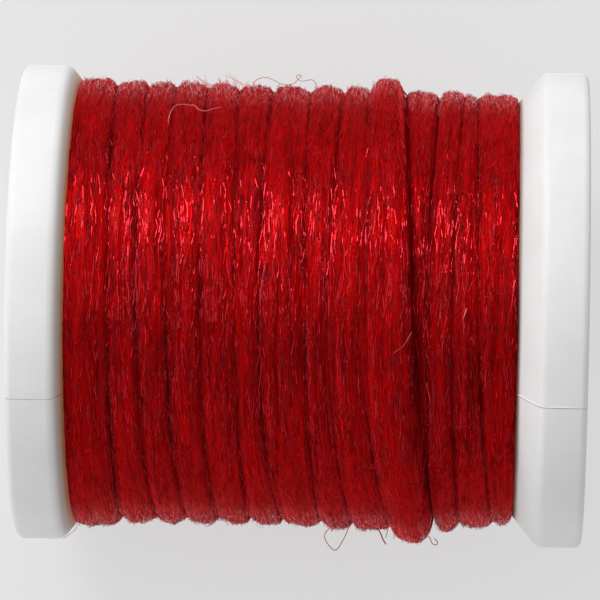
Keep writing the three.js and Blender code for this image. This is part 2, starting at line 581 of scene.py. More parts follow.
@dataclass
class TubeBatch:
    """Many thin closed tubes of the same number of steps, joined into one mesh.

    Args:
        paths: Points of each tube's middle line, tubes by steps by 3, in millimetres.
        thickness: Diameter of each tube.
        tone: A shade from 0 to 1 for each tube.
        sides: Sides of a tube.
        roll: How far each tube's sides are turned about its line at the start, in radians.
        twist: How far they turn from start to end.
        taper: Share of the thickness that is left at the two ends.
    """

    paths: np.ndarray
    thickness: np.ndarray
    tone: np.ndarray
    sides: int = 3
    roll: np.ndarray | float = 0.0
    twist: np.ndarray | float = 0.0
    taper: float = 0.4

    def _frames(self) -> tuple[np.ndarray, np.ndarray]:
        """Two directions square to each path at each point.

        Returns:
            The direction away from the spool's axis and the one to the side.
        """
        ahead = np.gradient(self.paths, axis=1)
        ahead /= np.linalg.norm(ahead, axis=2, keepdims=True) + 1e-12
        outward = self.paths * np.array((0.0, 1.0, 1.0)) + np.array((1e-4, 0.0, 0.0))
        aside = np.cross(ahead, outward)
        aside /= np.linalg.norm(aside, axis=2, keepdims=True) + 1e-12
        return np.cross(aside, ahead), aside

    def points(self) -> np.ndarray:
        """Corners of the tubes, tubes by steps by sides by 3.

        Returns:
            The corners.
        """
        tubes, steps, _ = self.paths.shape
        out, aside = self._frames()
        along = np.linspace(0.0, 1.0, steps)
        full = np.clip(np.minimum(along, 1 - along) * steps / 2, 0, 1)
        ends = self.taper + (1 - self.taper) * full
        radius = 0.5 * np.asarray(self.thickness).reshape(-1, 1) * ends
        start = np.broadcast_to(np.asarray(self.roll, float).reshape(-1, 1, 1), (tubes, 1, 1))
        turn = np.broadcast_to(np.asarray(self.twist, float).reshape(-1, 1, 1), (tubes, 1, 1))
        angle = start + turn * along.reshape(1, -1, 1)
        angle = angle + np.linspace(0, 2 * np.pi, self.sides, endpoint=False).reshape(1, 1, -1)
        angle = angle[..., None]
        ring = np.cos(angle) * out[:, :, None, :] + np.sin(angle) * aside[:, :, None, :]
        return self.paths[:, :, None, :] + radius[:, :, None, None] * ring

    def faces(self) -> tuple[np.ndarray, np.ndarray]:
        """Corner numbers of the sides, four to a face, and of the ends, one face each.

        Returns:
            The sides and the ends.
        """
        tubes, steps, _ = self.paths.shape
        number = np.arange(tubes * steps * self.sides).reshape(tubes, steps, self.sides)
        beside = np.roll(number, -1, axis=2)
        quads = np.stack(
            (number[:, :-1], beside[:, :-1], beside[:, 1:], number[:, 1:]), axis=-1
        ).reshape(-1, 4)
        ends = np.concatenate((number[:, 0, ::-1], number[:, -1, :]))
        return quads, ends


class Shading(Enum):
    """How the sides of joined tubes are shaded."""

    FLAT = "flat"
    ROUND = "round"


def joined_mesh(
    name: str, batches: list[TubeBatch], shading: Shading = Shading.ROUND
) -> bpy.types.Mesh:
    """Makes one mesh of several batches of tubes.

    Args:
        name: The mesh's name.
        batches: The tubes.
        shading: How the sides are shaded.

    Returns:
        The mesh, with the tone of each tube and the way out from the axis as its attributes.
    """
    corners, tones, loops, sizes = [], [], [], []
    offset = 0
    for batch in batches:
        points = batch.points()
        corners.append(points.reshape(-1, 3))
        tones.append(np.repeat(batch.tone, points.shape[1] * batch.sides))
        for faces in batch.faces():
            loops.append((faces + offset).reshape(-1))
            sizes.append(np.full(len(faces), faces.shape[1]))
        offset += len(corners[-1])
    where = to_part(np.concatenate(corners)).astype(np.float32)
    corner_numbers = np.concatenate(loops).astype(np.int32)
    counts = np.concatenate(sizes)
    starts = np.concatenate(((0,), np.cumsum(counts)[:-1])).astype(np.int32)
    mesh = bpy.data.meshes.new(name)
    mesh.vertices.add(len(where))
    mesh.vertices.foreach_set("co", where.reshape(-1))
    mesh.loops.add(len(corner_numbers))
    mesh.loops.foreach_set("vertex_index", corner_numbers)
    mesh.polygons.add(len(starts))
    mesh.polygons.foreach_set("loop_start", starts)
    mesh.update(calc_edges=True)
    if shading is Shading.FLAT:
        mesh.shade_flat()
    else:
        mesh.shade_smooth()
    tone = mesh.attributes.new("tone", "FLOAT", "POINT")
    tone.data.foreach_set("value", np.concatenate(tones).astype(np.float32))
    outward = np.concatenate(corners) * np.array((0.0, 1.0, 1.0))
    outward /= np.linalg.norm(outward, axis=1, keepdims=True) + 1e-9
    way = mesh.attributes.new("outward", "FLOAT_VECTOR", "POINT")
    way.data.foreach_set("vector", outward.astype(np.float32).reshape(-1))
    mesh.validate()
    return mesh


@dataclass(frozen=True)
class Turn:
    """One turn of the top layer, by its left side.

    Args:
        far: Place along X as it passes the spool's far side.
        upper: Place along X as it passes the top.
        near: Place along X as it passes the near side.
        crown_far: Radius of its back at the far side.
        crown_near: Radius of its back at the near side.
        valley_far: Radius of the groove at its left at the far side.
        valley_near: Radius of the groove at its left at the near side.
    """

    far: float
    upper: float
    near: float
    crown_far: float
    crown_near: float
    valley_far: float
    valley_near: float


@dataclass(frozen=True)
class Groove:
    """A second, finer groove in the winding.

    Args:
        angles: Degrees round from the far side, rising.
        places: Place along X at each angle.
        depth: How deep it is.
        width: How wide it is.
    """

    angles: tuple[float, ...]
    places: tuple[float, ...]
    depth: float
    width: float

    EASE = 8

    def sunk(self, angle: np.ndarray, along: np.ndarray) -> np.ndarray:
        """How deep it is somewhere; it eases in and out over EASE degrees.

        Args:
            angle: Degrees round from the far side.
            along: Place along X.

        Returns:
            The depth.
        """
        line = np.interp(angle, self.angles, self.places)
        start = np.clip((angle - self.angles[0]) / self.EASE, 0, 1)
        end = np.clip((self.angles[-1] - angle) / self.EASE, 0, 1)
        aside = (along - line) / (self.width / 2)
        return self.depth * (start * end) * np.exp(-(aside**2))


@dataclass(frozen=True)
class Bundles:
    """Bundles of fibre of one size, as relief on the winding.

    Args:
        seed: Where their random numbers start.
        height: How far they stand up or sink in.
        width: How wide each is.
        length: How long each is.
        start: Cell of the relief at which a turn's left side lies.
    """

    seed: int
    height: float
    width: float
    length: float
    start: int


class SoftNoise:
    """Smooth random relief on a lattice that repeats."""

    SIZE = 512

    def __init__(self, seed: int) -> None:
        """Fills the lattice.

        Args:
            seed: Where the random numbers start.
        """
        self.lattice = np.random.default_rng(seed).uniform(-1, 1, (self.SIZE, self.SIZE))

    def at(self, across: np.ndarray, along: np.ndarray) -> np.ndarray:
        """The relief at a place, from -1 to 1.

        Args:
            across: Place across, in cells.
            along: Place along, in cells.

        Returns:
            The relief.
        """
        low_a = np.floor(across).astype(int)
        low_b = np.floor(along).astype(int)
        part_a = across - low_a
        part_b = along - low_b
        part_a = part_a * part_a * (3 - 2 * part_a)
        part_b = part_b * part_b * (3 - 2 * part_b)
        size = self.SIZE
        corner = [
            [self.lattice[(low_a + a) % size, (low_b + b) % size] for b in (0, 1)]
            for a in (0, 1)
        ]
        first = mix(corner[0][0], corner[0][1], part_b)
        second = mix(corner[1][0], corner[1][1], part_b)
        return mix(first, second, part_a)


class EasedLine:
    """A line through known points that never swings past them."""

    def __init__(self, places: list[float], values: list[float]) -> None:
        """Works out the slope at each point.

        Args:
            places: Where the points are, rising.
            values: The value at each.
        """
        self.places = np.asarray(places, float)
        self.values = np.asarray(values, float)
        steps = np.diff(self.places)
        rises = np.diff(self.values) / steps
        before, after = rises[:-1], rises[1:]
        same_way = before * after > 0
        safe = np.where(same_way, before + after, 1.0)
        inner = np.where(same_way, 2 * before * after / safe, 0.0)
        self.slopes = np.concatenate(((rises[0],), inner, (rises[-1],)))

    def at(self, place: np.ndarray) -> np.ndarray:
        """The value at a place.

        Args:
            place: The place.

        Returns:
            The value.
        """
        place = np.clip(place, self.places[0], self.places[-1])
        index = np.clip(np.searchsorted(self.places, place, "right") - 1, 0, len(self.places) - 2)
        width = self.places[index + 1] - self.places[index]
        part = (place - self.places[index]) / width
        square, cube = part**2, part**3
        return (
            (2 * cube - 3 * square + 1) * self.values[index]
            + (cube - 2 * square + part) * width * self.slopes[index]
            + (3 * square - 2 * cube) * self.values[index + 1]
            + (cube - square) * width * self.slopes[index + 1]
        )


def edge_turn(radii: tuple[float, float, float], side: int, gap: float) -> Turn:
    """A turn of no width that lies against a flange's slope.

    Args:
        radii: Radius of the winding's edge at the far side, the top and the near side.
        side: -1 for the left flange, 1 for the right one.
        gap: How far it stays from the slope.

    Returns:
        The turn.
    """
    far, upper, near = (side * (slope_place(radius) - gap) for radius in radii)
    return Turn(far, upper, near, radii[0], radii[2], radii[0], radii[2])


LEFT_EDGE = edge_turn((12.62, 12.78, 12.5), -1, 0.03)
RIGHT_EDGE = edge_turn((11.75, 11.8, 11.75), 1, 0.03)

TURNS = (
    LEFT_EDGE,
    Turn(LEFT_EDGE.far, LEFT_EDGE.upper, LEFT_EDGE.near, 12.75, 12.65, 12.62, 12.5),
    Turn(-10.8, -10.4, -10.05, 12.6, 12.4, 12.1, 11.9),
    Turn(-8.95, -8.85, -8.0, 12.6, 12.4, 12.15, 11.9),
    Turn(-7.4, -7.2, -6.35, 12.6, 12.4, 12.1, 11.9),
    Turn(-5.6, -5.35, -4.6, 12.5, 12.4, 12.05, 11.9),
    Turn(-3.8, -3.4, -2.75, 12.45, 12.4, 12.0, 11.95),
    Turn(-1.85, -2.15, -0.9, 12.45, 12.45, 11.85, 11.95),
    Turn(0.25, 0.45, 1.3, 12.5, 12.6, 11.85, 12.0),
    Turn(2.2, 1.7, 3.05, 12.5, 12.65, 12.0, 12.05),
    Turn(3.65, 3.6, 5.25, 12.95, 13.3, 12.1, 12.25),
    Turn(5.6, 6.3, 7.65, 12.3, 11.9, 11.7, 11.45),
    Turn(7.6, 7.15, 7.65, 12.25, 12.55, 11.6, 11.45),
    Turn(9.0, 8.5, 9.05, 12.2, 12.4, 11.95, 11.9),
    Turn(9.7, 9.9, 11.0, 12.15, 12.2, 11.7, 11.9),
    RIGHT_EDGE,
    RIGHT_EDGE,
)

GROOVES = (
    Groove((82, 90, 100, 114), (-7.4, -7.95, -8.35, -8.55), 0.16, 0.22),
    Groove(
        (76, 90, 102, 114, 128, 142, 152), (-6.2, -6.35, -6.4, -7.1, -7.2, -6.7, -6.2), 0.18, 0.24
    ),
    Groove((72, 90, 105, 125, 140, 160), (-0.8, -1.0, -1.1, -1.0, -1.05, -0.85), 0.24, 0.26),
    Groove((100, 120, 142, 160), (-3.6, -3.4, -3.05, -2.8), 0.14, 0.2),
    Groove((92, 105, 118, 130), (6.55, 6.6, 6.6, 6.7), 0.3, 0.4),
    Groove((66, 78, 100, 114), (11.15, 11.1, 10.9, 10.5), 0.14, 0.22),
    Groove((116, 128, 142), (-5.75, -5.7, -5.7), 0.1, 0.2),
    Groove((118, 130, 142, 158), (1.25, 1.2, 1.2, 1.3), 0.15, 0.22),
    Groove((92, 110, 128, 150), (2.15, 2.2, 2.6, 2.9), 0.12, 0.22),
    Groove((112, 120, 128), (4.1, 4.1, 4.15), 0.12, 0.2),
    Groove((16, 30, 45, 60, 78), (7.57, 7.5, 7.41, 7.31, 7.2), 0.4, 0.42),
    Groove((40, 50, 62), (9.75, 9.78, 9.82), 0.2, 0.24),
)


@dataclass
class WoundForm:
    """The winding's outside as one long turn of yarn.

    A place on it is how many turns have been laid, counted from the far side, and how far across
    the turn it lies, from 0 at its left to 1 at its right.

    Args:
        full_turn_width: Width from which a turn has its whole height.
        nominal_width: Width of a usual turn.
        turns_laid: How many turns there are.
        roundness: How round a turn's back is, from 0 for flat.
        settling: How far a groove is filled at the top and underneath.
        bundles: The bundles of fibre, from broad to fine.
    """

    full_turn_width: float = 1.2
    nominal_width: float = 1.9
    turns_laid: int = 15
    roundness: float = 0.42
    settling: float = 0.4
    bundles: tuple[Bundles, ...] = (
        Bundles(3, 0.085, 0.5, 13.0, 40),
        Bundles(4, 0.06, 0.24, 7.0, 80),
        Bundles(5, 0.03, 0.12, 3.0, 120),
    )

    def __post_init__(self) -> None:
        """Sets up the lines that the turn's sides, back and grooves follow."""
        number = range(len(TURNS))
        quarters = [n + part for n in number for part in (0.0, 0.25, 0.5)]
        halves = [n + part for n in number for part in (0.0, 0.5)]
        self.place = EasedLine(quarters, [v for t in TURNS for v in (t.far, t.upper, t.near)])
        self.crown = EasedLine(halves, [v for t in TURNS for v in (t.crown_far, t.crown_near)])
        self.valley = EasedLine(halves, [v for t in TURNS for v in (t.valley_far, t.valley_near)])
        self.noises = [SoftNoise(bundles.seed) for bundles in self.bundles]

    def width(self, laid: np.ndarray) -> np.ndarray:
        """Width of the turn."""
        return self.place.at(laid + 1) - self.place.at(laid)

    def along(self, laid: np.ndarray, across: np.ndarray) -> np.ndarray:
        """Place along X."""
        return mix(self.place.at(laid), self.place.at(laid + 1), across)

    def relief(self, laid: np.ndarray, across: np.ndarray) -> np.ndarray:
        """How far the bundles of fibre stand up or sink in, before their grooves.

        Args:
            laid: Turns laid.
            across: Place across the turn.

        Returns:
            The height.
        """
        run = laid * MEAN_ROUND
        wide = across * self.nominal_width
        height = sum(
            size.height * noise.at(wide / size.width + size.start, run / size.length)
            for size, noise in zip(self.bundles, self.noises)
        )
        window = np.clip(6 * across * (1 - across), 0, 1) ** 0.6
        return height * window

    def grooved(self, laid: np.ndarray, along: np.ndarray) -> np.ndarray:
        """How deep the second grooves are.

        Args:
            laid: Turns laid.
            along: Place along X.

        Returns:
            The depth.
        """
        angle = (laid % 1.0) * 360.0
        depth = np.zeros_like(along)
        for groove in GROOVES:
            depth = np.maximum(depth, groove.sunk(angle, along))
        return depth

    def radius(self, laid: np.ndarray, across: np.ndarray) -> np.ndarray:
        """Distance from the axis.

        Args:
            laid: Turns laid.
            across: Place across the turn.

        Returns:
            The distance.
        """
        valley = mix(self.valley.at(laid), self.valley.at(laid + 1), across)
        uneven = 1 + self.noises[0].at(across + 300.5, laid * self.turns_laid)
        filled = self.settling * np.abs(np.sin(2 * np.pi * laid)) * uneven
        valley = mix(valley, np.maximum(valley, self.crown.at(laid)), filled)
        full = np.clip(self.width(laid) / self.full_turn_width, 0, 1)
        arch = np.clip(4 * across * (1 - across), 0, 1) ** self.roundness
        smooth = valley + (self.crown.at(laid) - valley) * arch * full
        along = self.along(laid, across)
        return smooth + full * self.relief(laid, across) - self.grooved(laid, along)

    def point(
        self, laid: np.ndarray, across: np.ndarray, lift: np.ndarray | float = 0.0
    ) -> np.ndarray:
        """The point that stands a little way off the surface.

        Args:
            laid: Turns laid.
            across: Place across the turn.
            lift: How far the point stands off.

        Returns:
            Points with their three numbers in the last axis.
        """
        across = np.clip(across, 0.0, 1.0)
        radius = self.radius(laid, across) + lift
        return about_axis(self.along(laid, across), radius, 2 * np.pi * (laid % 1.0))


@dataclass
class SpoolMoulding:
    """The plastic spool: two flanges with a slit each, a barrel and a bore.

    Args:
        length: From end to end.
        rim_width: Width of a flange's flat rim.
        rim_round: Rounding of the rim's outer edge.
        lip_round: Rounding of the edge between rim and slope.
        foot_round: Rounding at the foot of the slope.
        barrel_radius: Radius of the barrel.
        bore_radius: Radius of the bore.
        bore_edge: Chamfer of the bore's ends.
        slit_width: Width of a slit.
        slit_depth: Depth of a slit.
        slit_turn: How far the slits are turned from straight up, in degrees.
        bead: Thickness of the raised lip beside a slit.
        sides: Steps round the spool.
    """

    length: float = SPOOL_LENGTH
    rim_width: float = RIM_WIDTH
    rim_round: float = 0.4
    lip_round: float = 0.28
    foot_round: float = 0.15
    barrel_radius: float = 5.5
    bore_radius: float = 4.0
    bore_edge: float = 0.4
    slit_width: float = 0.03
    slit_depth: float = 3.2
    slit_turn: float = 23.6
    bead: float = 0.1
    sides: int = 180

    def _half_section(self) -> list[tuple[float, float]]:
        """Corners of one half of the section, from bore to barrel.

        Returns:
            Each corner's place along X and radius.
        """
        end = self.length / 2
        return [
            (end - self.bore_edge, self.bore_radius),
            (end, self.bore_radius + self.bore_edge),
            (end, FLANGE_RADIUS),
            (end - self.rim_width, FLANGE_RADIUS),
            (SLOPE_FOOT_X, SLOPE_FOOT_RADIUS),
            (SLOPE_FOOT_X, self.barrel_radius),
        ]

    def _turned(self) -> bmesh.types.BMesh:
        """The spool without its cuts, spun about X with its edges rounded.

        Returns:
            The spool's shape.
        """
        half = self._half_section()
        section = half + [(-along, radius) for along, radius in reversed(half)]
        shape = bmesh.new()
        corners = [shape.verts.new((along, 0.0, radius)) for along, radius in section]
        edges = [shape.edges.new((a, b)) for a, b in zip(corners, corners[1:] + corners[:1])]
        bmesh.ops.spin(
            shape,
            geom=corners + edges,
            cent=(0, 0, 0),
            axis=(1, 0, 0),
            angle=2 * math.pi,
            steps=self.sides,
            use_merge=True,
            use_duplicate=False,
        )
        bmesh.ops.remove_doubles(shape, verts=shape.verts, dist=1e-4)
        rims = (
            (self.length / 2, FLANGE_RADIUS, self.rim_round, 5),
            (self.length / 2 - self.rim_width, FLANGE_RADIUS, self.lip_round, 4),
            (SLOPE_FOOT_X, SLOPE_FOOT_RADIUS, self.foot_round, 3),
        )
        for along, radius, rounding, segments in rims:
            ring = [edge for edge in shape.edges if self._on_ring(edge, along, radius)]
            bmesh.ops.bevel(
                shape,
                geom=ring,
                offset=rounding,
                offset_type="OFFSET",
                affect="EDGES",
                segments=segments,
                profile=0.5,
                material=-1,
                clamp_overlap=True,
            )
        bmesh.ops.recalc_face_normals(shape, faces=shape.faces)
        return shape

    @staticmethod
    def _on_ring(edge: bmesh.types.BMEdge, along: float, radius: float) -> bool:
        """Whether an edge runs round the spool at that place and radius, on either side."""
        return all(
            abs(abs(v.co.x) - along) < 1e-3 and abs(math.hypot(v.co.y, v.co.z) - radius) < 1e-2
            for v in edge.verts
        )

    def _cutter(self, side: int) -> bpy.types.Object:
        """The thin block that cuts one flange's slit.

        Args:
            side: -1 for the left flange, 1 for the right one.

        Returns:
            The block.
        """
        shape = bmesh.new()
        length = self.length / 2 - SLOPE_FOOT_X + 2
        height = self.slit_depth + 1
        bmesh.ops.create_cube(shape, size=1.0)
        bmesh.ops.scale(shape, vec=(length, self.slit_width, height), verts=shape.verts)
        along = side * (self.length / 2 + 1 - length / 2)
        middle = (along, 0.0, FLANGE_RADIUS - self.slit_depth + height / 2)
        bmesh.ops.translate(shape, vec=middle, verts=shape.verts)
        turn = Matrix.Rotation(math.radians(self.slit_turn), 3, "X")
        bmesh.ops.rotate(shape, cent=(0, 0, 0), matrix=turn, verts=shape.verts)
        mesh = bpy.data.meshes.new("slit_cutter")
        shape.to_mesh(mesh)
        shape.free()
        return put_in_scene("slit_cutter", mesh)

    def _cut(self, body: bpy.types.Object) -> bpy.types.Mesh:
        """Cuts both slits out of the spool.

        Args:
            body: The spool without its cuts.

        Returns:
            The cut mesh.
        """
        cutters = [self._cutter(side) for side in (-1, 1)]
        for cutter in cutters:
            modifier = body.modifiers.new("slit", "BOOLEAN")
            modifier.operation = "DIFFERENCE"
            modifier.solver = "EXACT"
            modifier.object = cutter
        graph = bpy.context.evaluated_depsgraph_get()
        mesh = bpy.data.meshes.new_from_object(body.evaluated_get(graph))
        for used in [*cutters, body]:
            bpy.data.objects.remove(used)
        return mesh

    def _bead(self) -> TubeBatch:
        """The lip that the mould leaves along the upper side of the right flange's slit.

        Returns:
            The lip as one tube.
        """
        end = self.length / 2
        section = np.array(
            (
                (end - 0.12, FLANGE_RADIUS - 0.45),
                (end - 0.2, FLANGE_RADIUS - 0.2),
                (end - 0.4, FLANGE_RADIUS - 0.06),
                (end - 0.8, FLANGE_RADIUS - 0.03),
                (end - 1.2, FLANGE_RADIUS - 0.02),
                (end - 1.9, FLANGE_RADIUS - 0.02),
                (end - self.rim_width, FLANGE_RADIUS - 0.09),
                (end - self.rim_width - 0.3, FLANGE_RADIUS - 0.36),
                (end - self.rim_width - 0.8, FLANGE_RADIUS - 0.99),
                (SLOPE_FOOT_X + 0.35, SLOPE_FOOT_RADIUS + 0.43),
                (SLOPE_FOOT_X + 0.05, SLOPE_FOOT_RADIUS + 0.03),
            )
        )
        beside = (self.slit_width + self.bead) / 2 / FLANGE_RADIUS
        angle = math.radians(90 + self.slit_turn) - beside
        path = smooth_path(about_axis(section[:, 0], section[:, 1], angle), 40)
        return TubeBatch(path[None], np.array((self.bead,)), np.array((0.5,)), sides=8, taper=0.5)

    def build(self) -> bpy.types.Object:
        """Makes the spool.

        Returns:
            The piece, riding on the part's body in place of the CAD spool.
        """
        shape = self._turned()
        mesh = bpy.data.meshes.new("spool_turned")
        shape.to_mesh(mesh)
        shape.free()
        mesh = self._cut(put_in_scene("spool_turned", mesh))
        shape = bmesh.new()
        shape.from_mesh(mesh)
        floor = bmesh.ops.bisect_plane(
            shape,
            geom=shape.verts[:] + shape.edges[:] + shape.faces[:],
            dist=1e-5,
            plane_co=(0, 0, -AXIS_HEIGHT),
            plane_no=(0, 0, -1),
            clear_outer=True,
        )
        open_edges = [part for part in floor["geom_cut"] if isinstance(part, bmesh.types.BMEdge)]
        bmesh.ops.holes_fill(shape, edges=open_edges)
        bmesh.ops.remove_doubles(shape, verts=shape.verts, dist=1e-5)
        bmesh.ops.recalc_face_normals(shape, faces=shape.faces)
        bmesh.ops.translate(shape, vec=(0, 0, AXIS_HEIGHT), verts=shape.verts)
        bmesh.ops.scale(shape, vec=(MILLIMETRE,) * 3, verts=shape.verts)
        shape.from_mesh(joined_mesh("bead", [self._bead()]))
        shape.to_mesh(mesh)
        shape.free()
        mesh.shade_smooth()
        mesh.set_sharp_from_angle(angle=math.radians(32))
        piece = put_in_scene("spool_moulding", mesh)
        mesh.materials.clear()
        mesh.materials.append(PlasticFinish().material())
        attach(piece, "root")
        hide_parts("spool")
        return piece


@dataclass
class YarnWinding:
    """The wound yarn as one body: a flat grid bent round the barrel along its turns.

    Args:
        form: The wound form.
        steps_across: Steps across each turn.
        steps_around: Steps round the spool.
        side_clearance: Gap to each flange's wall.
        foot_depth: How far below the foot of the slopes its sides start.
        bore_radius: Radius of the hidden inside.
        pattern_shift: How far the pattern of the fibres is shifted from turn to turn.
    """

    form: WoundForm
    steps_across: int = 14
    steps_around: int = 250
    side_clearance: float = 0.05
    foot_depth: float = 0.25
    bore_radius: float = 5.8
    pattern_shift: float = 7.3

    def _hidden_corners(self) -> list[tuple[float, float]]:
        """Corners of the hidden part of the section, from the right side to the left one.

        Returns:
            Each corner's place along X and radius.
        """
        wall = SLOPE_FOOT_X - self.side_clearance
        foot = SLOPE_FOOT_RADIUS - self.foot_depth
        return [(wall, foot), (wall, self.bore_radius), (-wall, self.bore_radius), (-wall, foot)]

    def _bent(self, column: np.ndarray, share: np.ndarray) -> tuple[np.ndarray, np.ndarray]:
        """Places of the flat grid's corners once it is bent.

        Args:
            column: Column number of each corner.
            share: Share of the way round of each corner.

        Returns:
            The points, and the place on the yarn in millimetres across and along.
        """
        outside = self.form.turns_laid * self.steps_across
        turn = np.minimum(column // self.steps_across, self.form.turns_laid - 1)
        across = np.clip(column / self.steps_across - turn, 0, 1)
        laid = turn + share
        points = self.form.point(laid, across)
        hidden = self._hidden_corners()
        for step, (along, radius) in enumerate(hidden, start=1):
            chosen = column == outside + step
            points[chosen] = about_axis(along, radius, 2 * np.pi * share[chosen])
        closing = column == outside + len(hidden) + 1
        points[closing] = self.form.point(share[closing], np.zeros(closing.sum()))
        sideways = across * self.form.nominal_width + self.pattern_shift * turn
        return points, np.stack((sideways, laid * MEAN_ROUND), axis=-1)

    def build(self) -> bpy.types.Object:
        """Makes the winding.

        Returns:
            The piece, riding on the part's body in place of the CAD winding.
        """
        columns = self.form.turns_laid * self.steps_across + len(self._hidden_corners()) + 1
        shape = bmesh.new()
        bmesh.ops.create_grid(shape, x_segments=columns, y_segments=self.steps_around, size=0.5)
        mesh = bpy.data.meshes.new("yarn_winding")
        shape.to_mesh(mesh)
        shape.free()
        flat = np.zeros(len(mesh.vertices) * 3)
        mesh.vertices.foreach_get("co", flat)
        flat = flat.reshape(-1, 3) + 0.5
        column = np.rint(flat[:, 0] * columns).astype(int)
        share = np.rint(flat[:, 1] * self.steps_around) / self.steps_around
        points, fibres = self._bent(column, share)
        mesh.vertices.foreach_set("co", to_part(points).astype(np.float32).reshape(-1))
        corner = np.zeros(len(mesh.loops), dtype=np.int32)
        mesh.loops.foreach_get("vertex_index", corner)
        layer = mesh.uv_layers.new(name="fibres")
        layer.data.foreach_set("uv", fibres[corner].astype(np.float32).reshape(-1))
        self._close(mesh)
        mesh.shade_smooth()
        mesh.materials.append(WOUND_NYLON.on_winding())
        piece = put_in_scene("yarn_winding", mesh)
        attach(piece, "root")
        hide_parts("wound_yarn")
        return piece

    @staticmethod
    def _close(mesh: bpy.types.Mesh) -> None:
        """Joins the two ends of the bent grid and turns its faces outwards.

        Args:
            mesh: The bent grid.
        """
        shape = bmesh.new()
        shape.from_mesh(mesh)
        bmesh.ops.remove_doubles(shape, verts=shape.verts, dist=2e-7)
        bmesh.ops.dissolve_degenerate(shape, edges=shape.edges, dist=1e-7)
        bmesh.ops.recalc_face_normals(shape, faces=shape.faces)
        shape.to_mesh(mesh)
        shape.free()


def smooth_path(points: np.ndarray, steps: int) -> np.ndarray:
    """Draws a soft line through a few points.

    Args:
        points: The points, one a row.
        steps: How many points the line gets.

    Returns:
        The line's points, evenly shared between the given ones.
    """
    lengths = np.linalg.norm(np.diff(points, axis=0), axis=1)
    places = np.concatenate(((0.0,), np.cumsum(np.sqrt(lengths))))
    padded = np.vstack((2 * points[0] - points[1], points, 2 * points[-1] - points[-2]))
    want = np.linspace(0, places[-1], steps)
    index = np.clip(np.searchsorted(places, want, "right") - 1, 0, len(points) - 2)
    part = ((want - places[index]) / (places[index + 1] - places[index]))[:, None]
    before, start, end, after = (padded[index + shift] for shift in range(4))
    return 0.5 * (
        2 * start
        + (end - before) * part
        + (2 * before - 5 * start + 4 * end - after) * part**2
        + (3 * start - before - 3 * end + after) * part**3
    )


